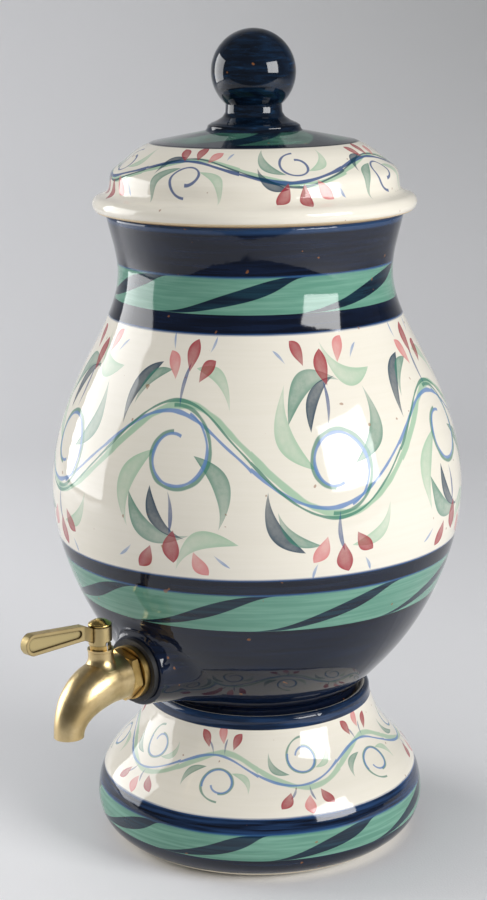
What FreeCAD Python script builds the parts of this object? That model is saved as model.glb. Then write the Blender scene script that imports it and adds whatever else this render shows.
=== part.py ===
"""Glazed clay drink pot on a stand, with a lid and a brass quarter-turn tap.

Millimetres. The origin is the centre of the stand's foot, on the table. +Z is up and the tap points to -Y.
Profiles are pairs of (radius, height) for the pottery and (distance out from the pot's axis, radius) for
pieces turned about the tap's axis.
"""
import FreeCAD
import Part
import math
import os

Vector = FreeCAD.Vector
UP = Vector(0, 0, 1)
OUT = Vector(0, -1, 0)
ACROSS = Vector(1, 0, 0)

# Stand
foot_radius = 76.0
# Radius, and share of the height up to the foot of the lip's round
stand_outline = [
    (85.5, 0.0594), (92.6, 0.1663), (94.0, 0.2969), (89.2, 0.4929), (80.5, 0.6235), (71.8, 0.7482), (66.2, 0.8848),
]
stand_wall = 8.0
stand_rim_radius = 63.8
stand_lip = 5.6
stand_lip_height = 7.0
ledge_height = 80.0
ledge_width = 10.0
ledge_thickness = 8.0

# Pot
foot_clearance = 1.5
urn_foot_height = 8.5
urn_foot_ring = 8.0
urn_foot_recess = 3.0
belly_radius = 115.0
urn_rim_radius = 81.2
urn_height = 278.0
# Swell, from 0 at the rim's radius to 1 at the belly's, and share of the pot's height
urn_outline = [
    (-0.4349, 0.0647), (0.0976, 0.1385), (0.6036, 0.2446), (0.9201, 0.3597), (1.0, 0.4532), (0.8698, 0.5612),
    (0.4497, 0.6906), (0.0, 0.7986), (-0.1627, 0.8741), (-0.1183, 0.9317),
]
urn_wall = 7.0
urn_floor = 9.0
rim_round = 2.4
profile_tolerance = 0.1

# Boss that carries the tap
tap_rise = 39.4
boss_proud = 1.54
boss_radius = 20.0
boss_depth = 44.0
boss_root_radius = 27.0
boss_edge_round = 1.5
boss_blend = 9.0
boss_wall = 9.0
boss_pocket_radius = 15.8

# Lid
lid_overhang = 7.4
lid_bead_height = 9.0
lid_lip = 3.4
# Share of the bead's radius, and rise above the pot's rim
dome_outline = [(0.9063, 11.5), (0.8826, 20.7), (0.8126, 26.6), (0.7314, 32.4), (0.6253, 37.3)]
dome_wall = 6.5
collar_radius = 24.7
collar_bulge = 0.6
collar_bevel = 1.5
collar_rise = 5.9
collar_thickness = 3.2
knob_neck_radius = 15.3
knob_neck_sweep = 3.5
knob_neck_length = 6.9
knob_radius = 23.0
knob_hollow_radius = 9.0
skirt_clearance = 1.5
skirt_depth = 10.0
skirt_wall = 5.0

# Tap: tail piece through the wall
thread_radius = 10.4
hole_clearance = 0.9
tail_length = 27.0
tail_bore_radius = 7.0
flange_radius = 14.5
flange_thickness = 4.0
hex_across = 24.4
hex_length = 6.0
hex_turn = 16.0
corner_slope = 0.6
nose_radius = 10.0
outer_gasket_radius = 17.4
outer_gasket_thickness = 3.0
inner_gasket_radius = 15.4
inner_gasket_thickness = 2.5
washer_radius = 14.8
washer_thickness = 1.6
nut_across = 25.0
nut_thickness = 6.0

# Tap: body
stem_reach = 12.35
body_radius = 12.5
bend_lead = 3.7
spout_reach = 27.9
spout_drop = 23.6
spout_radius = 7.95
taper_start = 18.0
waterway_radius = 4.2
spout_bore_radius = 5.7
neck_radius = 6.7
neck_height = 18.9
neck_bead = 0.3
neck_bead_height = 1.2
neck_straight = 4.4
neck_flare = 6.2
neck_flare_width = 3.0

# Tap: ball, seats, stem and seals
ball_radius = 7.5
ball_bore_radius = 3.9
seat_radius = 8.6
seat_reach = 4.5
seat_thickness = 3.2
seat_gap = 0.06
fit_gap = 0.05
stem_radius = 3.6
stem_collar_radius = 5.0
stem_collar_thickness = 1.8
stem_collar_gap = 0.3
stem_square = 5.0
tang_width = 3.0
tang_depth = 2.6
ring_section = 0.7
ring_lift = 0.02
ring_spacing = 3.4
ring_below_top = 2.4

# Tap: lever
thrust_washer_radius = 5.8
thrust_washer_thickness = 2.4
running_gap = 0.1
hub_radius = 6.25
hub_height = 10.0
hub_roof = 1.4
lever_length = 52.9
lever_thickness = 4.6
lever_waist = 3.0
lever_root = 13.0
lever_root_low = 5.2
lever_root_depth = 8.1
lever_tip_low = 6.0
lever_tip_depth = 11.4
lever_foot = 1.9
lever_head = 0.2
panel_rim = 1.9
panel_depth = 0.8
screw_head_radius = 6.25
screw_head_bead = 1.6
screw_head_step = 0.7
screw_head_dome = 2.1
screw_radius = 1.6
screw_length = 6.0
screw_end_gap = 0.5
pin_radius = 0.8
pin_circle = 5.0
pin_angle = 86.0
pin_depth = 3.0
pin_height = 1.6
pin_clearance = 0.25
notch_headroom = 0.4
lever_travel = 90.0

# Pottery that nests
lip_inner = stand_rim_radius - stand_lip
urn_foot_radius = lip_inner - foot_clearance
urn_foot_inner = urn_foot_radius - urn_foot_ring
urn_rim_height = ledge_height + urn_height
mouth_radius = urn_rim_radius - urn_wall
skirt_radius = mouth_radius - skirt_clearance
lid_bead_radius = urn_rim_radius + lid_overhang
collar_height = urn_rim_height + dome_outline[-1][1] + collar_rise
knob_centre = (
    collar_height + collar_thickness + knob_neck_sweep + knob_neck_length
    + math.sqrt(knob_radius ** 2 - knob_neck_radius ** 2)
)
knob_top = knob_centre + knob_radius

# Heights on the stem
tap_height = ledge_height + tap_rise
collar_low = tap_height + seat_radius + stem_collar_gap
collar_top = collar_low + stem_collar_thickness
neck_top = tap_height + neck_height
pin_foot = neck_top - pin_depth
hub_bottom = neck_top + thrust_washer_thickness + running_gap
hub_top = hub_bottom + hub_height
upper_ring = neck_top - ring_below_top
ring_heights = [upper_ring - ring_spacing, upper_ring]

# Room that a cutting tool takes past the face that it leaves by
past = 1.0


def upright(points):
    """Profile points (radius, height) in the plane through the pot's axis."""
    return [Vector(r, 0, z) for r, z in points]


def line(a, b):
    return Part.LineSegment(a, b).toShape()


def arc(a, middle, b):
    return Part.Arc(a, middle, b).toShape()


def polyline(points):
    return [line(a, b) for a, b in zip(points, points[1:])]


def spline(points, start, end):
    """Smooth curve through the points, with the directions given at its ends."""
    curve = Part.BSplineCurve()
    curve.interpolate(Points=points, InitialTangent=start.normalize(), FinalTangent=end.normalize(), Scale=False)
    return curve


def arcs(curve):
    """The curve as tangent arcs, which turn into plain rounded faces."""
    return [piece.toShape() for piece in curve.toBiArcs(profile_tolerance)]


def inset(curve, points, wall):
    """The points moved by the wall thickness towards the axis, square to the curve."""
    moved = []
    for p in points:
        along = curve.tangent(curve.parameter(p))[0]
        moved.append(p + Vector(-along.z, 0, along.x) * wall)
    return moved


def pot_side():
    """Curve of the pot's outer side, from the foot ring to the rim, and the points that it goes through."""
    swell = belly_radius - urn_rim_radius
    between = [(urn_rim_radius + swell * out, ledge_height + urn_height * up) for out, up in urn_outline]
    start = Vector(urn_foot_radius, 0, ledge_height + urn_foot_height)
    rim = Vector(urn_rim_radius, 0, urn_rim_height - rim_round)
    points = [start] + upright(between) + [rim]
    return spline(points, Vector(0.75, 0, 0.66), Vector(0.2, 0, 1)), points


def pot_reach(height):
    """Radius of the pot's side at a height."""
    level = line(Vector(0, 0, height), Vector(2 * belly_radius, 0, height))
    touching = pot_side()[0].toShape().distToShape(level)[1]
    return touching[0][0].x


# Places along the tap's axis, measured out from the pot's axis
boss_face = pot_reach(tap_height + boss_radius) + boss_proud
boss_root = boss_face - boss_depth
flange_back = boss_face + outer_gasket_thickness
flange_front = flange_back + flange_thickness
hex_front = flange_front + hex_length
stem_axis = hex_front + stem_reach
bend_start = stem_axis - bend_lead
nose_end = stem_axis - seat_reach - seat_thickness
nose_groove = (hex_front + nose_end) / 2
pocket_floor = boss_face - boss_wall
washer_face = pocket_floor - inner_gasket_thickness
nut_face = washer_face - washer_thickness
tail_end = flange_back - tail_length


def outward(shape):
    """The shape as one solid with its faces outward."""
    solid = shape.Solids[0] if shape.Solids else Part.Solid(shape.Shells[0])
    if solid.Volume < 0:
        solid.reverse()
    return solid


def revolve(edges, centre, axis):
    """Solid of revolution of a closed outline."""
    face = Part.Face(Part.Wire(Part.__sortEdges__(edges)))
    return outward(face.revolve(centre, axis, 360))


def turned_on_pot(edges):
    return revolve(edges, Vector(0, 0, 0), UP)


def turned_on_tap(points):
    """Solid turned about the tap's axis from (distance out, radius) pairs."""
    outline = [Vector(0, -out, tap_height + r) for out, r in points]
    return revolve(polyline(outline + outline[:1]), Vector(0, 0, tap_height), OUT)


def turned_on_stem(points):
    """Solid turned about the stem's axis from (radius, height) pairs."""
    outline = [Vector(r, -stem_axis, z) for r, z in points]
    return revolve(polyline(outline + outline[:1]), Vector(0, -stem_axis, 0), UP)


def tube_on_tap(start, end, outer, inner):
    return turned_on_tap([(start, inner), (end, inner), (end, outer), (start, outer)])


def rod_on_tap(start, end, radius):
    return Part.makeCylinder(radius, end - start, Vector(0, -start, tap_height), OUT)


def rod_on_stem(low, high, radius):
    return Part.makeCylinder(radius, high - low, Vector(0, -stem_axis, low), UP)


def ring_section_points(along, across):
    """Eight-sided section of a rubber ring about its centre."""
    reach = ring_section / math.cos(math.radians(22.5))
    turns = [math.radians(22.5 + 45 * i) for i in range(8)]
    return [(along + reach * math.cos(a), across + reach * math.sin(a)) for a in turns]


def hexagon_on_tap(start, end, across, turn):
    """Hexagon prism on the tap's axis, its corners trimmed by a cone at both ends."""
    corner = across / math.sqrt(3)
    angles = [math.radians(turn + 30 + 60 * i) for i in range(7)]
    flats = [Vector(corner * math.cos(a), -start, tap_height + corner * math.sin(a)) for a in angles]
    prism = Part.Face(Part.makePolygon(flats)).extrude(OUT * (end - start))
    flat = across / 2
    drop = (corner - flat) * corner_slope
    trim = turned_on_tap([(start, 0), (start, flat), (start + drop, corner), (end - drop, corner), (end, flat), (end, 0)])
    return outward(prism.common(trim))


def stand():
    """Flared foot ring with a ledge and a rounded lip that holds the pot's foot."""
    lip_base = ledge_height + stand_lip_height - stand_lip / 2
    between = [(radius, lip_base * up) for radius, up in stand_outline]
    outer = upright([(foot_radius, 0)] + between + [(stand_rim_radius, lip_base)])
    side = spline(outer, Vector(1, 0, 0.35), Vector(-0.05, 0, 1))
    inner = inset(side, outer[1:-1], stand_wall)
    toe = Vector(foot_radius - stand_wall, 0, 0)
    bottom = Vector(toe.x, 0, stand_wall)
    lip = arc(
        outer[-1],
        Vector(stand_rim_radius - stand_lip / 2, 0, lip_base + stand_lip / 2),
        Vector(lip_inner, 0, lip_base),
    )
    ledge_inner = lip_inner - ledge_width
    ledge_low = ledge_height - ledge_thickness
    ledge = upright([
        (lip_inner, lip_base), (lip_inner, ledge_height), (ledge_inner, ledge_height), (ledge_inner, ledge_low),
    ])
    closing = polyline(ledge + [inner[-1]]) + polyline([bottom, toe, outer[0]])
    return turned_on_pot(arcs(side) + [lip] + closing + polyline([bottom] + inner))


def pot_shell():
    """Belly pot, solid inside, and the solid of its hollow. Its side is one face, for the boss to blend into."""
    side, outer = pot_side()
    start, rim = outer[0], outer[-1]
    top = Vector(urn_rim_radius - rim_round, 0, urn_rim_height)
    turn = rim_round * (1 - math.sqrt(0.5))
    rim_arc = arc(rim, Vector(urn_rim_radius - turn, 0, urn_rim_height - turn), top)
    recess = ledge_height + urn_foot_recess
    under = upright([
        (0, urn_rim_height), (0, recess), (urn_foot_inner, recess), (urn_foot_inner, ledge_height),
        (urn_foot_radius, ledge_height),
    ])
    shell = turned_on_pot([side.toShape(), rim_arc] + polyline([top] + under + [start]))
    inner = inset(side, outer[1:-1], urn_wall)
    floor = recess + urn_floor
    floor_edge = Vector(urn_foot_inner - urn_wall, 0, floor)
    mouth = Vector(mouth_radius, 0, urn_rim_height - skirt_depth - skirt_clearance)
    above = urn_rim_height + past
    closing = polyline([mouth] + upright([(mouth_radius, above), (0, above), (0, floor)]) + [floor_edge])
    return shell, turned_on_pot(polyline([floor_edge] + inner + [mouth]) + closing)


def boss():
    """Flaring clay boss with a flat face for the tap."""
    face = Vector(0, -boss_face, tap_height + boss_radius - boss_edge_round)
    side = Vector(0, -boss_face + boss_edge_round, tap_height + boss_radius)
    turn = boss_edge_round * (1 - math.sqrt(0.5))
    middle = Vector(0, -boss_face + turn, tap_height + boss_radius - turn)
    root = Vector(0, -boss_root, tap_height + boss_root_radius)
    flare = spline([side, root], Vector(0, 1, 0), Vector(0, 1, 0.62))
    closing = polyline([root, Vector(0, -boss_root, tap_height), Vector(0, -boss_face, tap_height), face])
    return revolve([arc(face, middle, side), flare.toShape()] + closing, Vector(0, 0, tap_height), OUT)


def urn():
    """The pot with its boss blended in, hollow, with a flat pocket inside and the hole for the tap."""
    shell, hollow = pot_shell()
    joined = outward(shell.fuse(boss()))
    seam = [edge for edge in joined.Edges if is_seam(edge)]
    blended = outward(joined.makeFillet(boss_blend, seam))
    pot = blended.cut(hollow)
    pot = pot.cut(rod_on_tap(boss_root, pocket_floor, boss_pocket_radius))
    pot = pot.cut(rod_on_tap(boss_root, boss_face + past, thread_radius + hole_clearance))
    return outward(pot)


def is_seam(edge):
    """True on the edges where the boss meets the pot's side."""
    free_form = not isinstance(edge.Curve, (Part.Circle, Part.Line))
    return free_form and edge.BoundBox.YMax < -boss_radius


def dome_points():
    """Points of the dome's outside, from the bead to the shoulder under the collar."""
    return upright([(lid_bead_radius * out, urn_rim_height + rise) for out, rise in dome_outline])


def lid_outside(crown):
    """Outline of the lid from the bead's foot to the crown of the knob, and the dome's curve."""
    seat = urn_rim_height
    bead_low = Vector(lid_bead_radius - lid_bead_height / 2, 0, seat)
    bead_end = Vector(lid_bead_radius - lid_lip, 0, seat + lid_bead_height)
    bead = arc(bead_low, Vector(lid_bead_radius, 0, seat + lid_bead_height / 2), bead_end)
    dome = spline([bead_end] + dome_points(), Vector(-1, 0, 0.3), Vector(-1, 0, 0.35))
    shoulder = Vector(collar_radius, 0, collar_height)
    collar_end = Vector(collar_radius - collar_bevel, 0, collar_height + collar_thickness)
    bulge = Vector(collar_radius + collar_bulge, 0, collar_height + collar_thickness / 2)
    neck_low = Vector(knob_neck_radius, 0, collar_end.z + knob_neck_sweep)
    neck_high = Vector(knob_neck_radius, 0, knob_centre - math.sqrt(knob_radius ** 2 - knob_neck_radius ** 2))
    sweep = spline([collar_end, neck_low], Vector(-1, 0, 0.1), Vector(-0.1, 0, 1))
    outline = [bead] + arcs(dome) + [line(dome_points()[-1], shoulder), arc(shoulder, bulge, collar_end)]
    outline += arcs(sweep) + [line(neck_low, neck_high), arc(neck_high, Vector(knob_radius, 0, knob_centre), crown)]
    return outline, dome, bead_low


def lid():
    """Domed lid with a bead flange, a skirt that drops in the mouth, a collar and a ball knob."""
    crown = Vector(0, 0, knob_top)
    outside, dome, bead_low = lid_outside(crown)
    under = inset(dome, dome_points()[1:], dome_wall)
    skirt_inner = skirt_radius - skirt_wall
    skirt_low = urn_rim_height - skirt_depth
    inside_top = Vector(skirt_inner, 0, urn_rim_height + lid_bead_height)
    hollow_low = Vector(knob_hollow_radius, 0, collar_height - dome_wall)
    hollow_top = Vector(0, 0, knob_centre)
    hollow_side = Vector(knob_hollow_radius, 0, hollow_top.z - knob_hollow_radius)
    middle = knob_hollow_radius * math.sqrt(0.5)
    hollow = arc(hollow_side, Vector(middle, 0, hollow_side.z + middle), hollow_top)
    skirt = upright([(skirt_radius, urn_rim_height), (skirt_radius, skirt_low), (skirt_inner, skirt_low)])
    inside = polyline([bead_low] + skirt + [inside_top]) + polyline([inside_top] + under)
    inside += polyline([under[-1], hollow_low, hollow_side]) + [hollow, line(hollow_top, crown)]
    return turned_on_pot(outside + inside)


def tail_piece():
    """Flange, hexagon, threaded tail and the nose that screws into the tap's body."""
    nose = nose_radius - fit_gap
    blank = rod_on_tap(tail_end, flange_back, thread_radius)
    blank = blank.fuse(rod_on_tap(flange_back, flange_front, flange_radius))
    blank = blank.fuse(hexagon_on_tap(flange_front, hex_front, hex_across, hex_turn))
    blank = blank.fuse(rod_on_tap(hex_front, nose_end, nose))
    groove = tube_on_tap(nose_groove - ring_section, nose_groove + ring_section, nose + past, nose - 2 * ring_section)
    blank = blank.cut(groove)
    blank = blank.cut(rod_on_tap(tail_end - past, flange_back, tail_bore_radius))
    return outward(blank.cut(rod_on_tap(flange_back - past, nose_end + past, waterway_radius)).removeSplitter())


def tail_seal():
    """Ring in the nose's groove that seals the tail piece in the body."""
    return turned_on_tap(ring_section_points(nose_groove, nose_radius - fit_gap - ring_section + ring_lift))


def lock_nut():
    nut = hexagon_on_tap(nut_face - nut_thickness, nut_face, nut_across, 0)
    return outward(nut.cut(rod_on_tap(nut_face - nut_thickness - past, nut_face + past, thread_radius + fit_gap)))


def bend_point(angle):
    """A place on the elliptical quarter bend of the spout, and the direction of the way there."""
    a = math.radians(angle)
    place = Vector(0, -bend_start - spout_reach * math.sin(a), tap_height - spout_drop * (1 - math.cos(a)))
    return place, Vector(0, -spout_reach * math.cos(a), -spout_drop * math.sin(a))


def bend(start_radius, end_radius, angles, beyond):
    """Round passage that follows the bend, changes size on the way and goes straight on beyond its end."""
    rings = []
    for angle in angles:
        share = max(0, angle - taper_start) / (90 - taper_start)
        ease = share * share * (3 - 2 * share)
        place, along = bend_point(angle)
        rings.append(Part.Wire(Part.makeCircle(start_radius + (end_radius - start_radius) * ease, place, along)))
    if beyond:
        rings.append(Part.Wire(Part.makeCircle(end_radius, place + along.normalize() * beyond, along)))
    return outward(Part.makeLoft(rings, True, False))


def tap_body():
    """Cast body: round inlet that bends down to the spout, with a neck for the stem."""
    cast = bend(body_radius, spout_radius, [0, 22.5, 45, 67.5, 90], 0)
    cast = cast.fuse(rod_on_tap(hex_front, bend_start, body_radius))
    cast = cast.fuse(neck())
    cast = cast.cut(rod_on_tap(hex_front - past, nose_end, nose_radius))
    cast = cast.cut(rod_on_tap(hex_front - past, stem_axis + seat_reach + seat_thickness, seat_radius + fit_gap))
    cast = cast.cut(bend(waterway_radius, spout_bore_radius, [20, 43, 67, 90], past))
    cast = cast.cut(rod_on_stem(tap_height, collar_top + fit_gap, stem_collar_radius + fit_gap))
    cast = cast.cut(rod_on_stem(tap_height, neck_top + past, stem_radius + fit_gap))
    return outward(cast.cut(Part.makeCylinder(pin_radius, pin_depth + past, pin_place(pin_foot), UP)))


def neck():
    """Neck for the stem, with a bead at its top and a flare at its foot."""
    bead_low = neck_top - neck_bead_height
    straight_low = neck_top - neck_straight
    points = [
        (neck_radius, straight_low), (neck_radius, bead_low - neck_bead), (neck_radius + neck_bead, bead_low),
        (neck_radius + neck_bead, neck_top), (0, neck_top), (0, tap_height),
        (neck_radius + neck_flare_width, tap_height), (neck_radius + neck_flare_width, straight_low - neck_flare),
    ]
    outline = [Vector(r, -stem_axis, z) for r, z in points]
    flare = spline([outline[0], outline[-1]], Vector(0, 0, -1), Vector(1, 0, -1))
    return revolve(polyline(outline) + arcs(flare), Vector(0, -stem_axis, 0), UP)


def pin_place(height):
    a = math.radians(pin_angle)
    return Vector(pin_circle * math.sin(a), -stem_axis - pin_circle * math.cos(a), height)


def stop_pin():
    """Pin in the neck that stands up in the notch of the hub."""
    return Part.makeCylinder(pin_radius, hub_bottom + pin_height - pin_foot, pin_place(pin_foot), UP)


def thrust_washer():
    ring = rod_on_stem(neck_top, neck_top + thrust_washer_thickness, thrust_washer_radius)
    ring = ring.cut(rod_on_stem(neck_top - past, hub_bottom + past, stem_radius + fit_gap))
    slot = Part.makeCylinder(pin_radius + fit_gap, thrust_washer_thickness + 2 * past, pin_place(neck_top - past), UP)
    return outward(ring.cut(slot))


def ball():
    """Bored ball, shut: its bore lies across the tap. A slot on top takes the stem's tang."""
    reach = ball_radius + past
    bore = Part.makeCylinder(ball_bore_radius, 2 * reach, Vector(-reach, -stem_axis, tap_height), ACROSS)
    slot_width = tang_width + 2 * fit_gap
    slot_floor = tap_height + ball_radius - tang_depth - fit_gap
    slot = Part.makeBox(slot_width, 2 * reach, reach, Vector(-slot_width / 2, -stem_axis - reach, slot_floor))
    return outward(Part.makeSphere(ball_radius, Vector(0, -stem_axis, tap_height)).cut(bore).cut(slot))


def seat(side):
    """Seat ring on the side towards the spout (+1) or the pot (-1), hollowed to fit the ball."""
    near = stem_axis + side * seat_reach
    far = near + side * seat_thickness
    ring = tube_on_tap(min(near, far), max(near, far), seat_radius, waterway_radius)
    return outward(ring.cut(Part.makeSphere(ball_radius + seat_gap, Vector(0, -stem_axis, tap_height))))


def stem():
    """Stem with a tang for the ball, a collar, two ring grooves and a square for the lever."""
    square_top = hub_top - hub_roof - running_gap
    shaft = rod_on_stem(collar_low, hub_bottom, stem_radius)
    shaft = shaft.fuse(rod_on_stem(collar_low, collar_top, stem_collar_radius))
    half = stem_square / 2
    corner = Vector(-half, -stem_axis - half, hub_bottom)
    shaft = shaft.fuse(Part.makeBox(stem_square, stem_square, square_top - hub_bottom, corner))
    tang_low = tap_height + ball_radius - tang_depth
    tang_corner = Vector(-tang_width / 2, -stem_axis - stem_radius, tang_low)
    tang = Part.makeBox(tang_width, 2 * stem_radius, collar_top - tang_low, tang_corner)
    shaft = shaft.fuse(tang.common(rod_on_stem(tang_low, collar_top, stem_radius)))
    for height in ring_heights:
        groove = rod_on_stem(height - ring_section, height + ring_section, stem_collar_radius)
        shaft = shaft.cut(groove.cut(rod_on_stem(tap_height, hub_top, stem_radius - 2 * ring_section)))
    shaft = shaft.cut(rod_on_stem(hub_top - screw_length, hub_top, screw_radius + fit_gap))
    return outward(shaft.removeSplitter())


def stem_o_rings():
    rings = [turned_on_stem(ring_section_points(stem_radius - ring_section, height)) for height in ring_heights]
    return Part.makeCompound(rings)


def lever_outline():
    """Corners of the paddle in the plane of the tap, seen from the side."""
    root_low = hub_bottom + lever_root_low
    tip_low = hub_bottom + lever_tip_low
    tip = stem_axis + lever_length
    turn = tip - lever_tip_depth / 2
    wall = stem_axis + hub_radius
    return dict(
        foot=Vector(0, -stem_axis, hub_bottom + lever_foot),
        foot_wall=Vector(0, -wall, hub_bottom + lever_foot),
        root_low=Vector(0, -stem_axis - lever_root, root_low),
        tip_low=Vector(0, -turn, tip_low),
        nose=Vector(0, -tip, tip_low + lever_tip_depth / 2),
        tip_top=Vector(0, -turn, tip_low + lever_tip_depth),
        root_top=Vector(0, -stem_axis - lever_root, root_low + lever_root_depth),
        head_wall=Vector(0, -wall, hub_top - lever_head),
        head=Vector(0, -stem_axis, hub_top - lever_head),
    )


def lever_blade():
    """Paddle swept across its thickness, narrowed next to the hub, with a panel sunk in each face."""
    at = lever_outline()
    edges = polyline([at["head"], at["foot"], at["foot_wall"], at["root_low"], at["tip_low"]])
    edges.append(arc(at["tip_low"], at["nose"], at["tip_top"]))
    edges += polyline([at["tip_top"], at["root_top"], at["head_wall"], at["head"]])
    face = Part.Face(Part.Wire(Part.__sortEdges__(edges)))
    half = lever_thickness / 2
    face.translate(ACROSS * -half)
    blade = outward(face.extrude(ACROSS * lever_thickness))
    for side in (-1, 1):
        blade = blade.cut(lever_panel(at, side)).cut(lever_taper(side))
    return blade


def lever_panel(at, side):
    """Stadium-shaped sinking in one face, a rim's width inside the paddle's edge."""
    near = (at["root_low"] + at["root_top"]) * 0.5
    far = (at["tip_low"] + at["tip_top"]) * 0.5
    radius = lever_root_depth / 2 - panel_rim
    far_radius = lever_tip_depth / 2 - panel_rim
    along = (far - near).normalize()
    square = Vector(0, -along.z, along.y)
    near = near + along * (radius + panel_rim)
    a, b = near + square * radius, far + square * far_radius
    c, d = far - square * far_radius, near - square * radius
    edges = [line(a, b), arc(b, far + along * far_radius, c), line(c, d), arc(d, near - along * radius, a)]
    outline = Part.Face(Part.Wire(Part.__sortEdges__(edges)))
    outline.translate(ACROSS * (side * (lever_thickness / 2 - panel_depth)))
    return outward(outline.extrude(ACROSS * (side * (panel_depth + past))))


def lever_taper(side):
    """Wedge that narrows one face of the paddle from its shoulder to the hub."""
    low = hub_bottom - past
    outer = lever_thickness / 2 + past
    corners = [
        (lever_waist / 2, stem_axis), (lever_waist / 2, stem_axis + hub_radius),
        (lever_thickness / 2, stem_axis + lever_root), (outer, stem_axis + lever_root), (outer, stem_axis),
    ]
    outline = [Vector(side * x, -out, low) for x, out in corners]
    height = lever_root_low + lever_root_depth + 2 * past
    return outward(Part.Face(Part.makePolygon(outline + outline[:1])).extrude(UP * height))


def lever():
    """Hub with a square socket, a stop notch and the paddle."""
    body = rod_on_stem(hub_bottom, hub_top, hub_radius).fuse(lever_blade())
    half = stem_square / 2 + fit_gap
    corner = Vector(-half, -stem_axis - half, hub_bottom - past)
    body = body.cut(Part.makeBox(2 * half, 2 * half, hub_top - hub_roof - hub_bottom + past, corner))
    body = body.cut(rod_on_stem(hub_bottom, hub_top + past, screw_radius + 2 * fit_gap))
    return outward(body.cut(stop_notch()).removeSplitter())


def stop_notch():
    """Sector cut from the hub's lower edge: the travel and room for the pin at each end."""
    margin = math.degrees(math.asin((pin_radius + pin_clearance) / pin_circle))
    span = lever_travel + 2 * margin
    inner = pin_circle - pin_radius - pin_clearance
    height = past + pin_height + notch_headroom
    base = Vector(0, 0, hub_bottom - past)
    sector = Part.makeCylinder(hub_radius + past, height, base, UP, span).cut(Part.makeCylinder(inner, height, base, UP))
    sector.rotate(Vector(0, 0, 0), UP, pin_angle - margin - 90)
    sector.translate(OUT * stem_axis)
    return sector


def lever_screw():
    """Domed cap screw with a bead round its head."""
    bead_top = hub_top + screw_head_bead
    dome_rim = screw_head_radius - screw_head_step
    crown = bead_top + screw_head_dome
    bead_low = Vector(dome_rim, -stem_axis, hub_top)
    bead_end = Vector(dome_rim, -stem_axis, bead_top)
    bead = arc(bead_low, Vector(screw_head_radius, -stem_axis, hub_top + screw_head_bead / 2), bead_end)
    sphere = (dome_rim ** 2 + screw_head_dome ** 2) / (2 * screw_head_dome)
    lean = math.asin(dome_rim / sphere) / 2
    middle = Vector(sphere * math.sin(lean), -stem_axis, crown - sphere * (1 - math.cos(lean)))
    top = Vector(0, -stem_axis, crown)
    edges = [bead, arc(bead_end, middle, top)] + polyline([top, Vector(0, -stem_axis, hub_top), bead_low])
    cap = revolve(edges, Vector(0, -stem_axis, 0), UP)
    shank = rod_on_stem(hub_top - screw_length + screw_end_gap, hub_top, screw_radius)
    return outward(cap.fuse(shank).removeSplitter())


def ring_on_wall(start, thickness, radius):
    """Flat ring round the threaded tail."""
    return tube_on_tap(start, start + thickness, radius, thread_radius + fit_gap)


def main():
    nodes = {
        "stand": stand(),
        "urn": urn(),
        "lid": lid(),
        "tap_body": tap_body(),
        "tail_piece": tail_piece(),
        "tail_seal": tail_seal(),
        "outer_gasket": ring_on_wall(boss_face, outer_gasket_thickness, outer_gasket_radius),
        "inner_gasket": ring_on_wall(washer_face, inner_gasket_thickness, inner_gasket_radius),
        "inner_washer": ring_on_wall(nut_face, washer_thickness, washer_radius),
        "lock_nut": lock_nut(),
        "ball": ball(),
        "seat_front": seat(1),
        "seat_back": seat(-1),
        "stem": stem(),
        "stem_o_rings": stem_o_rings(),
        "thrust_washer": thrust_washer(),
        "stop_pin": stop_pin(),
        "lever": lever(),
        "lever_screw": lever_screw(),
    }
    os.makedirs("parts", exist_ok=True)
    for name, shape in nodes.items():
        print(name, "valid", shape.isValid(), "volume", round(shape.Volume))
        shape.exportStep(f"parts/{name}.step")


main()
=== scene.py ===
import math
import bmesh
import bpy
from mathutils import Matrix, Vector
from mathutils.bvhtree import BVHTree


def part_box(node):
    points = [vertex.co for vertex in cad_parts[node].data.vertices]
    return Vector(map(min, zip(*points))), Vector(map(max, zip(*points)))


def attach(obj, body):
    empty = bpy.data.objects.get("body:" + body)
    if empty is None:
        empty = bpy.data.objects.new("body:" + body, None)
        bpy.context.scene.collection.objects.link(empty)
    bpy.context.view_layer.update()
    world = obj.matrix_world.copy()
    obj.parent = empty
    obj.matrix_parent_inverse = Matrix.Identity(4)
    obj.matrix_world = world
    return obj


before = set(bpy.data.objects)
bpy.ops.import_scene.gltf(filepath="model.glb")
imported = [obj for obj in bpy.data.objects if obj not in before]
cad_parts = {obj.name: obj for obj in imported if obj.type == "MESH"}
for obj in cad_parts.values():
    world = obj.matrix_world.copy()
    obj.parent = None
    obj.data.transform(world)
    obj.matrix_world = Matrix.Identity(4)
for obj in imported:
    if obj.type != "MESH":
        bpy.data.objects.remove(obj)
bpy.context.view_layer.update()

# A glazed and painted clay drink pot with its lid, stand and brass tap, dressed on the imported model. Metres, in
# the model's own frame: the origin is the middle of the stand's foot, +Z is up and the tap points to -Y.


# Camera
# It stands a metre off and level with the lid, 42 degrees round the pot from its tap, and looks a little down.
camera_place = Vector((0.7007, -0.7782, 0.4675))
bearing, dip, roll = (math.radians(a) for a in (42.0, 13.425, 0.5155))
ahead = Vector((-math.sin(bearing) * math.cos(dip), math.cos(bearing) * math.cos(dip), -math.sin(dip)))
level = Vector((math.cos(bearing), math.sin(bearing), 0))
above = level.cross(ahead)
camera_right = level * math.cos(roll) - above * math.sin(roll)
camera_top = above * math.cos(roll) + level * math.sin(roll)
camera_data = bpy.data.cameras.new("camera")
camera_data.lens = 76.37
camera_data.shift_x = -0.0149
camera_data.shift_y = 0.0102
camera = bpy.data.objects.new("camera", camera_data)
turned = Matrix((camera_right, camera_top, -ahead)).transposed().to_4x4()
camera.matrix_world = Matrix.Translation(camera_place) @ turned
bpy.context.scene.collection.objects.link(camera)
bpy.context.scene.camera = camera
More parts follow.
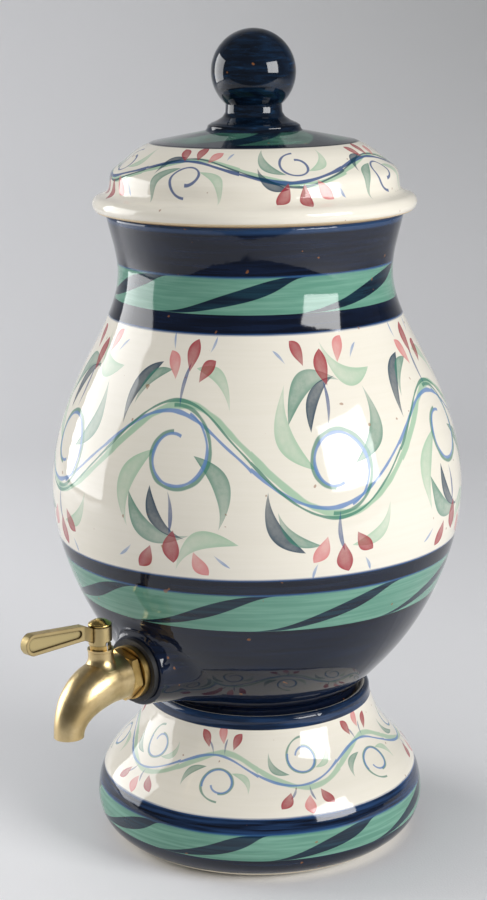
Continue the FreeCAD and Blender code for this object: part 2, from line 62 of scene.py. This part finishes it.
bpy.context.scene.view_settings.view_transform = "Standard"


# Studio sweep
# A sheet of pale grey paper lies on the table and curves up behind the pot. From behind, its back isn't seen.
# The floor in front of it, the apron, shows in no reflection, as the room there is dark.
class Wire:
    """A socket that is reckoned with like a number: an expression adds its Math nodes."""

    def __init__(self, nodes, socket):
        self.nodes, self.socket = nodes, socket

    def math(self, operation, *others):
        return self.nodes.add("ShaderNodeMath", {"operation": operation}, (self, *others))

    def __add__(self, other):
        return self.math("ADD", other)

    def __sub__(self, other):
        return self.math("SUBTRACT", other)

    def __rsub__(self, other):
        return self.nodes.add("ShaderNodeMath", {"operation": "SUBTRACT"}, (other, self))

    def __mul__(self, other):
        return self.math("MULTIPLY", other)

    def __truediv__(self, other):
        return self.math("DIVIDE", other)

    def __neg__(self):
        return self.math("MULTIPLY", -1.0)

    def __abs__(self):
        return self.math("ABSOLUTE")

    __radd__ = __add__
    __rmul__ = __mul__

    def rise(self, low, high):
        """0 below low, 1 above high and a smooth step between; falls instead where low is the higher."""
        step = {"interpolation_type": "SMOOTHSTEP"}
        return self.nodes.add("ShaderNodeMapRange", step, (self, low, high, 0.0, 1.0))


class Nodes:
    """The nodes of a material or of the room."""

    def __init__(self, owner):
        owner.use_nodes = True
        self.tree = owner.node_tree

    def add(self, kind, settings, inputs, output=0):
        """Puts in a node: its settings first, then the values or links of its sockets."""
        node = self.tree.nodes.new(kind)
        for name, value in settings.items():
            setattr(node, name, value)
        for key, value in inputs.items() if isinstance(inputs, dict) else enumerate(inputs):
            self.join(value, node.inputs[key])
        if isinstance(output, tuple):
            return [Wire(self, node.outputs[o]) for o in output]
        return Wire(self, node.outputs[output])

    def join(self, value, socket):
        if isinstance(value, Wire):
            self.tree.links.new(value.socket, socket)
        else:
            socket.default_value = value


class Look(Nodes):
    """A material in the making."""

    def __init__(self, name):
        self.material = bpy.data.materials.new(name)
        super().__init__(self.material)
        self.shader = self.tree.nodes["Principled BSDF"]
        self.place = self.add("ShaderNodeTexCoord", {}, {}, "Object")
        self.x, self.y, self.z = self.add("ShaderNodeSeparateXYZ", {}, (self.place,), (0, 1, 2))

    def set(self, **values):
        """Sets sockets of the shader, with spaces in their names written as _."""
        for name, value in values.items():
            self.join(value, self.shader.inputs[name.replace("_", " ")])

    def mix(self, share, a, b):
        return self.add("ShaderNodeMix", {"data_type": "RGBA"}, {0: share, 6: a, 7: b}, 2)

    def noise(self, place, scale, detail=2.0, roughness=0.5):
        inputs = {"Vector": place, "Scale": scale, "Detail": detail, "Roughness": roughness}
        return self.add("ShaderNodeTexNoise", {}, inputs)

    def point(self, a, b, c=0.0):
        return self.add("ShaderNodeCombineXYZ", {}, (a, b, c))

    def relief(self, *layers):
        """Bumps over each other, each a height from 0 to 1 and its depth, joined to the shader's Normal."""
        normal = None
        for height, depth in layers:
            inputs = {"Strength": 1.0, "Distance": depth, "Height": height}
            if normal:
                inputs["Normal"] = normal
            normal = self.add("ShaderNodeBump", {}, inputs)
        self.set(Normal=normal)


def dye(red, green, blue):
    """A colour as it looks, 0 to 255, in the shader's linear scale."""
    linear = [((c / 255 + 0.055) / 1.055) ** 2.4 if c > 10 else c / 255 / 12.92 for c in (red, green, blue)]
    return (*linear, 1.0)


def shaped(name, made, look, way_out):
    """Makes an object of a bmesh: smooth, its faces turned to the way out that is given for a face's middle."""
    bmesh.ops.recalc_face_normals(made, faces=made.faces)
    if sum(face.normal.dot(way_out(face.calc_center_median())) for face in made.faces) < 0:
        bmesh.ops.reverse_faces(made, faces=made.faces)
    mesh = bpy.data.meshes.new(name)
    made.to_mesh(mesh)
    made.free()
    for face in mesh.polygons:
        face.use_smooth = True
    mesh.materials.append(look.material)
    piece = bpy.data.objects.new(name, mesh)
    bpy.context.scene.collection.objects.link(piece)
    return piece


paper = Look("backdrop_paper")
fibre = paper.noise(paper.place, 900.0, 3.0)
tint = paper.mix(fibre, dye(236, 236, 238), dye(240, 240, 242))
# Painted shade on the paper: its colour grows darker to the right and towards the top.
to_the_right = (paper.x * level.x + paper.y * level.y).rise(-0.7, 0.6)
shade = to_the_right * paper.z.rise(-0.1, 0.5) * 0.6 + paper.z.rise(0.3, 1.0) * 0.25
paper.set(Base_Color=paper.mix(shade, tint, dye(152, 153, 151)), Roughness=0.75)
paper.set(Alpha=1.0 - paper.add("ShaderNodeNewGeometry", {}, {}, "Backfacing"))
paper.relief((fibre, 0.0001))

sweep_front = 0.6
sweep_flat = 0.95
sweep_bend = 0.9
sweep_wall = 2.6
sweep_half_width = 4.0
sweep_steps = 24
apron_front = 4.0
towards = Vector((ahead.x, ahead.y, 0)).normalized()


def sheet(name, outline):
    """A sheet of the paper along a line of points that runs away from the camera."""
    made = bmesh.new()
    corners = [made.verts.new(p - level * sweep_half_width) for p in outline]
    edges = [made.edges.new(pair) for pair in zip(corners, corners[1:])]
    wide = bmesh.ops.extrude_edge_only(made, edges=edges)
    far = [v for v in wide["geom"] if isinstance(v, bmesh.types.BMVert)]
    bmesh.ops.translate(made, vec=level * 2 * sweep_half_width, verts=far)
    return shaped(name, made, paper, lambda middle: Vector((0, 0, 1)))


outline = [towards * -sweep_front, towards * sweep_flat]
for step in range(1, sweep_steps + 1):
    a = math.radians(90 * step / sweep_steps)
    rise = Vector((0, 0, sweep_bend * (1 - math.cos(a))))
    outline.append(towards * (sweep_flat + sweep_bend * math.sin(a)) + rise)
outline.append(outline[-1] + Vector((0, 0, sweep_wall)))
backdrop = sheet("backdrop", outline)
apron = sheet("apron", [towards * -apron_front, towards * -sweep_front])
apron.visible_glossy = False


# Studio light
# A soft box stands to the right and another behind to the left. Two large fills show in no reflection.
# The room is dark, and pale where the camera sees it.
def soft_box(name, azimuth, elevation, distance, width, height, power, mirrored=True):
    """A square lamp that looks at the pot's belly, at an azimuth from the tap and an elevation in degrees."""
    a, e = math.radians(azimuth), math.radians(elevation)
    aim = Vector((0, 0, 0.26))
    place = aim + distance * Vector((math.sin(a) * math.cos(e), -math.cos(a) * math.cos(e), math.sin(e)))
    lamp = bpy.data.lights.new(name, "AREA")
    lamp.shape = "RECTANGLE"
    lamp.size, lamp.size_y, lamp.energy = width, height, power
    holder = bpy.data.objects.new(name, lamp)
    facing = (aim - place).to_track_quat("-Z", "Y").to_matrix().to_4x4()
    holder.matrix_world = Matrix.Translation(place) @ facing
    holder.visible_glossy = mirrored
    bpy.context.scene.collection.objects.link(holder)


soft_box("box_right", 96.0, 16.5, 1.6, 0.86, 0.72, 21.0)
soft_box("box_left", -67.0, 10.0, 1.4, 1.0, 0.95, 14.0)
soft_box("fill_above", -20.0, 68.0, 2.2, 2.0, 2.0, 16.0, False)
soft_box("fill_front", 50.0, 32.0, 2.4, 1.6, 1.6, 4.5, False)
room_light, room_seen = 0.14, 0.55
room = bpy.data.worlds.new("room")
bpy.context.scene.world = room
air = Nodes(room)
sky = air.tree.nodes["Background"]
in_camera = air.add("ShaderNodeLightPath", {}, {}, "Is Camera Ray")
air.join(dye(240, 243, 250), sky.inputs["Color"])
air.join(in_camera * (room_seen - room_light) + room_light, sky.inputs["Strength"])


# Pot
# One piece of clay, turned on a wheel and fired, with a boss for the tap. It is painted by brush with bands, leaf
# strokes and a scroll of sprigs, and dipped in clear glaze; its foot and the seat of the lid are left bare.
cream, cream_wash = dye(236, 230, 216), dye(234, 228, 213)
navy, navy_wash = dye(8, 15, 31), dye(15, 27, 50)
green, green_wash = dye(96, 146, 127), dye(116, 162, 143)
blue = dye(36, 62, 98)
bisque = dye(222, 200, 165)
teal_ink, sea_ink, leaf_ink = (24, 62, 84), (70, 132, 112), (150, 190, 158)
sky_ink, ink_blue, red_ink, pink_ink = (98, 136, 188), (44, 78, 132), (160, 38, 54), (214, 118, 120)
turns = 2 * math.pi


def clay(name, wobble=0.0010):
    """A look with the places that the painter works by: turn, radius, wavering height, and the outer side."""
    look = Look(name)
    look.turn = look.y.math("ARCTAN2", look.x)
    look.radius = (look.x * look.x + look.y * look.y).math("SQRT")
    look.line = look.z + (look.noise(look.place, 11.0, 2.0) - 0.5) * wobble
    normal = look.add("ShaderNodeTexCoord", {}, {}, "Normal")
    across, along = look.add("ShaderNodeSeparateXYZ", {}, (normal,), (0, 1))
    look.outside = (across * look.x + along * look.y).rise(-0.002, -0.0005)
    look.wash = look.noise(look.point(look.turn * 1.6, look.z * 420.0), 1.0, 3.0, 0.6)
    return look


def over(look, height):
    """1 above the lower edge of a painted band."""
    return look.line.rise(height - 0.0002, height + 0.0002)


def lay(look, colour, *coats):
    """Lays coats of paint over a colour, one after the other: each where it lies, and its own colour."""
    for where, paint in coats:
        colour = look.mix(where, colour, paint)
    return colour


def brushed(look, dark, light):
    """Colour laid by a full brush while the wheel turns: thin streaks along the ring."""
    return look.mix(look.wash.rise(0.35, 0.7), dark, light)


def thin_edges(look, colour, *heights):
    """The edges of the navy bands, where the colour is thin and shows blue."""
    for height in heights:
        edge = abs(look.line - height).rise(0.0010, 0.0002) * look.wash.rise(0.2, 0.6)
        colour = look.mix(edge * 0.75, colour, dye(44, 84, 134))
    return colour


def leaf_ribbon(look, low, high, count, start, run=1.15, width=0.26):
    """Slanting leaf strokes, 1 on them, that leave one band's edge and arrive on the other's."""
    height = (look.line - low) / (high - low)
    lift = height * 2.0 - 1.0
    bow = lift.math("MINIMUM", 1.0).math("MAXIMUM", -1.0).math("ARCSINE") / math.pi + 0.5
    waver = (look.noise(look.place, 18.0, 1.0) - 0.5) * 0.2
    along = (look.turn * (count / turns) + start + waver - bow * run).math("FRACT")
    full = 1.05 - lift * lift * 0.5
    stroke = along.rise(0.0, 0.015) * (full * width - along).rise(0.0, 0.015)
    return stroke * height.rise(-0.02, 0.02) * height.rise(1.02, 0.98)


def cells(look, count, cell, start, up):
    """Repeats a sprig round the pot, every second one upside down: u across and v up, in millimetres."""
    place = look.turn * (count / turns) + start
    flip = 1.0 - (place.math("FLOOR") * 0.5).math("FRACT") * 4.0
    shake = (look.noise(look.place, 30.0, 1.0) - 0.5) * 2.2
    return (place.math("FRACT") - 0.5) * cell + shake, up * flip + shake


def strokes(look, colour, u, v, *painted):
    """Comma strokes, one after the other: place, lean, length, width, bend, ink, strength."""
    grain = look.noise(look.point(u, v), 0.22, 3.0, 0.65)
    for (across, up), lean, length, width, bend, ink, strength in painted:
        c, s = math.cos(math.radians(lean)), math.sin(math.radians(lean))
        along = (u * (c / length) + v * (s / length)) - (across * c + up * s) / length
        square = along * along
        off = abs(v * c - u * s - (up * c - across * s) + square * bend)
        belly = (1.0 - square).math("MAXIMUM", 0.0) * (width + along * (0.42 * width))
        body = (belly - off).rise(0.0, 0.35)
        watery = 2.2 * (1.2 - strength)
        thin = (off / belly).rise(1.0, 0.3) * grain * (0.45 * watery) + (0.1 - along * 0.2) * watery
        colour = look.mix(body * (strength - thin), colour, dye(*ink))
    return colour


def scroll(look, colour, u, v, cell, swing, *lines):
    """The running stem, lines that wave from cell to cell: share of the swing, shift, width, ink, strength."""
    press = look.noise(look.point(u, v), 0.06, 1.0) * 1.6 + 0.2
    for swing_share, shift, width, ink, strength in lines:
        wave = (u * (math.pi / cell) - shift).math("COSINE") * (swing * swing_share)
        drawn = (press * width - abs(v - wave)).rise(0.0, width * 0.4)
        colour = look.mix(drawn * strength, colour, dye(*ink))
    return colour


def curl(look, colour, u, v, centre, *rings):
    """A tendril that winds out from its centre: start radius, growth a turn, start, width, ink, strength."""
    a, b = u - centre[0], v - centre[1]
    reach = (a * a + b * b).math("SQRT")
    angle = b.math("ARCTAN2", a) / turns
    press = look.noise(look.point(u, v), 0.08, 1.0) * 1.4 + 0.3
    for first, growth, start, width, ink, strength in rings:
        radius = first + (angle + start).math("FRACT") * growth
        drawn = (press * width - abs(reach - radius)).rise(0.0, width * 0.5)
        colour = look.mix(drawn * strength, colour, dye(*ink))
    return colour


def glaze(look, colour, dull):
    """Clear glossy glaze over the painted colour, with the waves that it dries in and a few iron specks."""
    specks = look.noise(look.place, 260.0, 0.0).rise(0.845, 0.87)
    colour = look.mix(specks * 0.6, colour, dye(150, 96, 52))
    slow = look.noise(look.place, 26.0, 1.0)
    ripple = look.noise(look.place, 95.0, 1.0)
    fine = look.noise(look.place, 320.0, 2.0)
    look.set(Base_Color=colour, Roughness=0.04 + fine * 0.04 + dull, IOR=1.47)
    look.relief((slow, 0.00035), (ripple, 0.00004), (fine, 0.000006))


def dress(look, *nodes):
    """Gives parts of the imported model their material."""
    for node in nodes:
        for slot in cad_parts[node].material_slots:
            slot.material = look.material


foot_bare = 0.0842
low_leaves, low_line, low_cream = 0.1497, 0.1714, 0.1803
high_cream, neck_leaves, neck_line = 0.3023, 0.312, 0.331
rim_blue, lid_seat = 0.3526, 0.3568
belly_middle = 0.2413
pot_cell = 90.0
pot = clay("glazed_clay_pot")
u, v = cells(pot, 8, pot_cell, 0.1, (pot.z - belly_middle) * 1000.0)
figures = strokes(
    pot, brushed(pot, cream, cream_wash), u, v,
    ((-27.0, -13.0), 72.0, 22.0, 5.2, 10.5, leaf_ink, 0.8),
    ((30.0, -12.0), 112.0, 20.0, 4.8, -10.5, sea_ink, 0.85),
    ((-11.0, -38.0), 152.0, 21.0, 5.2, 12.0, sea_ink, 0.85),
    ((17.0, -40.0), 24.0, 19.0, 4.8, 10.5, leaf_ink, 0.8),
    ((-6.0, -31.0), 128.0, 17.0, 3.6, 7.5, teal_ink, 0.95),
)
figures = scroll(
    pot, figures, u, v, pot_cell, 25.0,
    (1.1, 0.14, 2.6, leaf_ink, 0.8), (0.95, -0.14, 1.3, sky_ink, 0.85), (1.16, 0.0, 1.1, sea_ink, 0.85),
)
figures = curl(
    pot, figures, u, v, (2.0, 3.0),
    (11.0, 13.0, 0.72, 1.4, sea_ink, 0.8), (9.0, 12.0, 0.8, 1.0, sky_ink, 0.85),
)
figures = strokes(
    pot, figures, u, v,
    ((-33.0, 34.0), 60.0, 19.0, 4.0, 7.5, teal_ink, 0.95),
    ((-24.0, 38.0), 40.0, 15.0, 2.9, 6.0, sea_ink, 0.85),
    ((25.0, 40.0), 140.0, 16.0, 3.5, -7.5, leaf_ink, 0.8),
    ((1.0, 36.0), 84.0, 12.0, 1.3, 2.0, ink_blue, 0.9),
    ((4.0, 51.0), 78.0, 8.5, 4.6, 1.5, red_ink, 0.95),
    ((-8.0, 46.0), 118.0, 8.0, 4.0, -1.5, pink_ink, 0.9),
    ((15.0, 44.0), 48.0, 7.5, 3.8, 1.5, red_ink, 0.95),
    ((-12.0, 57.0), 106.0, 5.0, 0.9, 0.6, sky_ink, 0.85),
    ((19.0, 56.0), 62.0, 5.0, 0.9, -0.6, sky_ink, 0.85),
    ((2.0, -26.0), -86.0, 12.0, 1.2, 1.5, ink_blue, 0.9),
    ((2.0, -44.0), -92.0, 9.0, 4.8, -1.5, red_ink, 0.95),
    ((-13.0, -52.0), -122.0, 7.5, 3.8, 1.5, red_ink, 0.95),
    ((17.0, -53.0), -60.0, 7.5, 3.8, -1.5, pink_ink, 0.9),
    ((-26.0, -50.0), -140.0, 6.0, 0.9, 0.6, sky_ink, 0.85),
    ((29.0, -51.0), -42.0, 6.0, 0.9, -0.6, sky_ink, 0.85),
)
dark, sea = brushed(pot, navy, navy_wash), brushed(pot, green, green_wash)
leaf_paint = brushed(pot, dye(17, 30, 46), dye(26, 56, 70))
painted = lay(
    pot, dark,
    (over(pot, low_leaves), sea),
    (leaf_ribbon(pot, low_leaves, low_line, 9, 0.3), leaf_paint),
    (over(pot, low_line), brushed(pot, navy, dye(20, 32, 52))),
    (over(pot, low_cream), figures),
    (over(pot, high_cream), dark),
    (over(pot, neck_leaves), sea),
    (leaf_ribbon(pot, neck_leaves, neck_line, 6, 0.55, 1.05, 0.3), leaf_paint),
    (over(pot, neck_line), dark),
)
painted = thin_edges(pot, painted, low_line, low_cream, high_cream, neck_line)
painted = pot.mix(pot.line.rise(rim_blue, rim_blue + 0.0019), painted, blue)
painted = pot.mix(pot.outside, cream, painted)
bare = pot.z.rise(lid_seat, lid_seat + 0.0006)
painted = lay(pot, painted, (bare, bisque), (pot.z.rise(foot_bare, foot_bare - 0.0006), bisque))
glaze(pot, painted, bare * 0.5)
dress(pot, "urn")


# Swell of the boss
# The clay under the tap is built up by hand, smoothed into the belly and glazed with it. This skin adds the
# fullness that it has below. Millimetres here: s lies behind the boss's rim and r off the tap's axis, at angle a.
urn_skin = BVHTree.FromObject(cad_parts["urn"], bpy.context.evaluated_depsgraph_get())
boss_start = -1000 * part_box("outer_gasket")[1].y - 1.5
boss_rim = 20.03
boss_spread = 8.47
boss_depth = 42.5
tap_axis = 119.4
blend = 9.0
stride, probe = 0.8, 0.05
around, along = 96, 32


def boss_gap(s, r, a):
    """Distances from the boss's own round and from the belly."""
    share = min(max(s / boss_depth, 0), 1)
    own = r - boss_rim - boss_spread * share ** 1.6 * (2.0 - share) ** 0.9
    x, y, z = r * math.cos(a), boss_start - s, tap_axis + r * math.sin(a)
    belly = urn_skin.ray_cast(Vector((0, 0.3, z / 1000)), Vector((0, -1, 0)))[0].y * 1000
    return own, math.hypot(x, y) - belly


def boss_height(s, r, a):
    """Distance from the two, blended where they meet."""
    own, belly = boss_gap(s, r, a)
    near = max(blend - abs(own - belly), 0) / blend
    return min(own, belly) - near * near * blend / 4


def boss_line(a):
    """Walks over the boss from its rim until it lies on the belly, and a little under its skin at the end."""
    s, r = 0.0, boss_rim
    line = [(s, r)]
    while len(line) < 90 and boss_gap(s, r, a)[0] - boss_gap(s, r, a)[1] < blend:
        here = boss_height(s, r, a)
        slope_s = (boss_height(s + probe, r, a) - here) / probe
        slope_r = (boss_height(s, r + probe, a) - here) / probe
        steep = math.hypot(slope_s, slope_r)
        s, r = s + stride * slope_r / steep, r - stride * slope_s / steep
        off = boss_height(s, r, a) / steep
        s, r = s - off * slope_s / steep, r - off * slope_r / steep
        line.append((s, r))
    line.append((line[-1][0] + 1.2, line[-1][1]))
    return line


# A spoke is spun to a disc, and then each point of it is moved to its place on the boss.
skin = bmesh.new()
spoke = [skin.verts.new((1 + step, 0, 0)) for step in range(along + 1)]
for pair in zip(spoke, spoke[1:]):
    skin.edges.new(pair)
bmesh.ops.spin(
    skin, geom=skin.verts[:] + skin.edges[:], cent=(0, 0, 0), axis=(0, 1, 0), angle=turns, steps=around,
    use_merge=True,
)
lines = [boss_line(turns * k / around) for k in range(around)]
for vert in skin.verts:
    k = round(math.atan2(vert.co.z, vert.co.x) / turns * around) % around
    step = round(math.hypot(vert.co.x, vert.co.z)) - 1
    line, a = lines[k], turns * k / around
    share = step / along * (len(line) - 1)
    low = min(int(share), len(line) - 2)
    s, r = (line[low][n] + (line[low + 1][n] - line[low][n]) * (share - low) for n in (0, 1))
    vert.co = Vector((r * math.cos(a), s - boss_start, tap_axis + r * math.sin(a))) / 1000
boss_swell = shaped("boss_swell", skin, pot, lambda middle: Vector((middle.x, 0, 0)))
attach(boss_swell, "pot")


# Stand
# The second piece of turned clay, painted and glazed as the pot is: a flared ring that the pot's foot drops into,
# loose. Its toe is left bare of glaze.
def up_slope(look, height, radius):
    """Millimetres up a slope of 45 degrees, from the ring that has this height and radius."""
    return ((look.z - height) - (look.radius - radius)) * 720.0


toe_bare, toe_leaves, toe_line, toe_cream, stand_rim = 0.0056, 0.0162, 0.0312, 0.0392, 0.0801
stand_cell = 47.0
stand = clay("glazed_clay_stand")
u, v = cells(stand, 10, stand_cell, 0.35, up_slope(stand, 0.0596, 0.075))
figures = scroll(
    stand, brushed(stand, cream, cream_wash), u, v, stand_cell, 9.0,
    (1.1, 0.2, 2.0, leaf_ink, 0.7), (0.95, -0.16, 0.85, sky_ink, 0.85),
)
figures = curl(
    stand, figures, u, v, (3.0, -7.0),
    (6.0, 5.0, 0.25, 0.9, sea_ink, 0.75), (4.5, 5.0, 0.45, 0.7, sky_ink, 0.8),
)
figures = strokes(
    stand, figures, u, v,
    ((-15.0, -2.0), 50.0, 9.0, 2.1, 4.5, sea_ink, 0.85),
    ((17.0, -4.0), 128.0, 8.0, 1.9, -4.5, leaf_ink, 0.8),
    ((-5.0, 12.5), 118.0, 5.0, 0.7, -1.0, ink_blue, 0.85),
    ((3.0, 13.0), 84.0, 5.0, 0.7, 1.0, ink_blue, 0.85),
    ((-9.0, 17.0), 122.0, 5.4, 2.6, -1.0, red_ink, 0.95),
    ((1.0, 19.5), 90.0, 5.4, 2.8, 1.0, pink_ink, 0.9),
    ((10.0, 16.5), 60.0, 5.4, 2.6, 1.0, red_ink, 0.95),
)
painted = lay(
    stand, brushed(stand, navy, dye(24, 40, 64)),
    (over(stand, toe_leaves), brushed(stand, green, dye(122, 170, 150))),
    (
        leaf_ribbon(stand, toe_leaves, toe_line, 9, 0.15, 0.95, 0.34),
        brushed(stand, dye(18, 34, 50), dye(28, 58, 74)),
    ),
    (over(stand, toe_line), brushed(stand, navy, dye(36, 62, 100))),
    (over(stand, toe_cream), figures),
)
painted = thin_edges(stand, painted, toe_line, toe_cream)
painted = lay(stand, painted, (over(stand, stand_rim), brushed(stand, dye(18, 32, 54), blue)))
painted = stand.mix(stand.outside, cream, painted)
bare = stand.z.rise(toe_bare, toe_bare - 0.0006)
glaze(stand, stand.mix(bare, painted, dye(232, 222, 200)), bare * 0.5)
dress(stand, "stand")


# Lid
# The third piece of turned clay, loose in the mouth: a dome with a rolled edge, a collar and a ball that is
# painted while the wheel turns. The seat under its edge is left bare of glaze.
seat_bare, roof_start, roof_edge = 0.3596, 0.3947, 0.0505
lid_cell = 56.0
lid = clay("glazed_clay_lid")
u, v = cells(lid, 8, lid_cell, 0.2, up_slope(lid, 0.3825, 0.071))
figures = strokes(
    lid, brushed(lid, cream, cream_wash), u, v,
    ((-15.0, -5.0), 62.0, 12.0, 2.9, 6.0, sea_ink, 0.85),
    ((18.0, -6.0), 122.0, 11.0, 2.6, -6.0, leaf_ink, 0.8),
)
figures = scroll(
    lid, figures, u, v, lid_cell, 8.0,
    (1.1, 0.2, 1.8, leaf_ink, 0.8), (0.95, -0.16, 1.3, ink_blue, 0.9), (1.2, 0.05, 0.7, teal_ink, 0.8),
)
figures = curl(lid, figures, u, v, (2.0, -4.0), (4.5, 5.5, 0.25, 0.9, ink_blue, 0.85))
figures = strokes(
    lid, figures, u, v,
    ((-15.0, 7.0), 44.0, 10.0, 2.2, 5.2, teal_ink, 0.95),
    ((-7.0, 13.0), 122.0, 6.0, 3.0, -1.0, red_ink, 0.95),
    ((3.0, 14.5), 84.0, 6.4, 3.2, 1.0, red_ink, 0.95),
    ((13.0, 11.5), 50.0, 6.0, 2.8, 1.0, pink_ink, 0.9),
    ((22.0, 12.0), 60.0, 4.0, 0.8, 0.5, sky_ink, 0.85),
)
waver = (lid.noise(lid.place, 25.0, 1.0) - 0.5) * 0.3
swirl = (lid.turn * (5.0 / turns) + lid.radius * 24.0 + waver).math("FRACT")
roof = lay(
    lid, brushed(lid, dye(50, 92, 80), dye(80, 128, 110)),
    (swirl.rise(0.0, 0.03) * swirl.rise(0.42, 0.36), brushed(lid, dye(16, 28, 42), dye(26, 52, 66))),
    (lid.radius.rise(roof_edge, roof_edge + 0.0007), brushed(lid, dye(18, 26, 40), dye(26, 38, 58))),
)
ball_paint = brushed(lid, dye(8, 16, 28), dye(16, 36, 58))
ball_paint = lay(lid, ball_paint, (lid.wash.rise(0.6, 0.78) * 0.7, dye(36, 72, 108)))
on_knob = lid.radius.rise(0.0272, 0.0266) * lid.z.rise(0.398, 0.399)
painted = lay(lid, figures, (over(lid, roof_start), roof), (on_knob, ball_paint))
painted = lid.mix(lid.outside, cream, painted)
bare = lid.z.rise(seat_bare, seat_bare - 0.0004)
glaze(lid, lid.mix(bare, painted, bisque), bare * 0.5)
dress(lid, "lid")

# The waist between the knob and its collar, as radius and height in millimetres, spun round the lid's axis.
waist_points = [
    (26.8, 400.7), (25.9, 401.5), (25.4, 402.5), (24.8, 403.8), (23.2, 404.9),
    (19.9, 406.3), (17.0, 408.2), (15.55, 410.5), (15.35, 413.0), (15.2, 414.6),
]
waist_parts = 4
waist = bmesh.new()
profile = []
for first, second in zip(waist_points, waist_points[1:]):
    for part in range(waist_parts):
        reach, height = (f + (g - f) * part / waist_parts for f, g in zip(first, second))
        profile.append(waist.verts.new((reach / 1000, 0, height / 1000)))
for pair in zip(profile, profile[1:]):
    waist.edges.new(pair)
bmesh.ops.spin(
    waist, geom=waist.verts[:] + waist.edges[:], cent=(0, 0, 0), axis=(0, 0, 1), angle=turns, steps=96,
    use_merge=True,
)
for _ in range(3):
    inner = [vert for vert in waist.verts if not vert.is_boundary]
    bmesh.ops.smooth_vert(waist, verts=inner, factor=0.5, use_axis_z=True)
knob_waist = shaped("knob_waist", waist, lid, lambda middle: Vector((middle.x, 0, 0)))
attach(knob_waist, "lid")


# Tap body, tail piece, nut and washers
# Brass: the body is cast and blasted to a satin, and the tail piece, nut and washers are turned on a lathe.
# The tail goes through the boss, and the nut draws it tight from inside.
def brass(name, colour, roughness, grain, lathe=0.0):
    """Bare brass with the hazy tarnish of handling, darker near other surfaces, the grain of a casting and, where
    turned, fine rings.
    """
    look = Look(name)
    haze = look.noise(look.place, 55.0, 4.0, 0.6)
    pits = look.noise(look.place, 1400.0, 3.0, 0.6)
    open_air = look.add("ShaderNodeAmbientOcclusion", {"samples": 8}, {"Distance": 0.0025}, 1)
    # Darker where other surfaces stand within a few millimetres, the more where the haze is thick.
    near_surface_darkening = open_air.rise(0.9, 0.5) * (haze * 0.6 + 0.5)
    light = tuple(min(1.0, c * 1.12) for c in colour[:3]) + (1.0,)
    dark = tuple(c * f for c, f in zip(colour[:3], (0.80, 0.74, 0.62))) + (1.0,)
    tone = look.mix(haze.rise(0.3, 0.7), dark, light)
    look.set(Base_Color=look.mix(near_surface_darkening, tone, dye(74, 56, 30)), Metallic=1.0)
    look.set(Roughness=haze * 0.14 + pits * 0.1 + roughness)
    layers = [(look.noise(look.place, 120.0, 2.0), 0.00005 * grain), (pits, 0.00002 * grain)]
    if lathe:
        up = look.z - tap_axis / 1000
        off = (look.x * look.x + up * up).math("SQRT")
        layers.append((look.noise(look.point(off * 5200.0, look.y * 900.0), 1.0, 2.0), lathe))
    look.relief(*layers)
    return look


dress(brass("satin_cast_brass", dye(218, 197, 152), 0.2, 2.5), "tap_body")
turned_brass = brass("turned_brass", dye(212, 182, 118), 0.18, 0.3, 0.00003)
dress(turned_brass, "tail_piece", "lock_nut", "inner_washer", "thrust_washer")


# Lever, its cap screw and the stem
# A cast brass paddle with a rough panel sunk in each face. A polished domed screw holds it to the turned stem.
panel_half, panel_end = 0.0016, -0.1325
paddle = brass("lever_brass", dye(210, 184, 126), 0.22, 1.0)
sunk = abs(paddle.x).rise(panel_half + 0.0001, panel_half) * paddle.y.rise(panel_end, panel_end - 0.001)
rough = paddle.noise(paddle.place, 900.0, 3.0)
tone = paddle.mix(paddle.noise(paddle.place, 60.0, 3.0), dye(186, 165, 116), dye(220, 198, 148))
occlusion = "ShaderNodeAmbientOcclusion"
# Darker in the inner corners, where other surfaces stand close, and along the thin outer edges.
corner = paddle.add(occlusion, {"samples": 8}, {"Distance": 0.0016}, 1).rise(0.95, 0.62)
thin_edge_darkening = paddle.add(occlusion, {"samples": 8, "inside": True}, {"Distance": 0.001}, 1).rise(0.9, 0.5)
tone = lay(
    paddle, tone, (sunk, dye(198, 180, 132)), (thin_edge_darkening * 0.55, dye(92, 72, 40)), (corner * 0.9, dye(62, 46, 24)),
)
paddle.set(Base_Color=tone, Roughness=sunk * 0.14 + rough * 0.1 + 0.28)
paddle.relief((rough, 0.00002), (sunk * rough, 0.00005))
dress(paddle, "lever")
dress(brass("polished_brass", dye(206, 178, 112), 0.06, 0.15), "lever_screw")
dress(turned_brass, "stem")


# Stop pin and ball
# The pin is a length of bright steel wire pressed into the neck, and the ball is ground stainless steel.
steel = Look("bright_steel")
scratch = steel.noise(steel.point(steel.x * 300.0, steel.y * 300.0, steel.z * 4000.0), 1.0, 3.0)
steel.set(Base_Color=steel.mix(scratch, dye(176, 178, 180), dye(206, 208, 210)), Metallic=1.0)
steel.set(Roughness=scratch * 0.14 + 0.16)
steel.relief((scratch, 0.00001))
dress(steel, "stop_pin", "ball")


# Gaskets and sealing rings
# Moulded black nitrile rubber, pressed on both sides of the clay wall, in the tap's mouth and round the stem.
rubber = Look("black_rubber")
bloom = rubber.noise(rubber.place, 180.0, 4.0)
rubber.set(Base_Color=rubber.mix(bloom, dye(20, 20, 21), dye(40, 40, 42)), Roughness=bloom * 0.2 + 0.42)
rubber.relief((rubber.noise(rubber.place, 2500.0, 2.0), 0.00003))
dress(rubber, "outer_gasket", "inner_gasket", "tail_seal", "stem_o_rings")


# Ball seats
# Two rings of white fluoropolymer, turned to hug the ball from each side.
plastic = Look("white_fluoropolymer")
cloud = plastic.noise(plastic.place, 300.0, 3.0)
plastic.set(Base_Color=plastic.mix(cloud, dye(226, 225, 220), dye(240, 240, 236)), Roughness=cloud * 0.1 + 0.35)
plastic.relief((cloud, 0.00002))
dress(plastic, "seat_front", "seat_back")
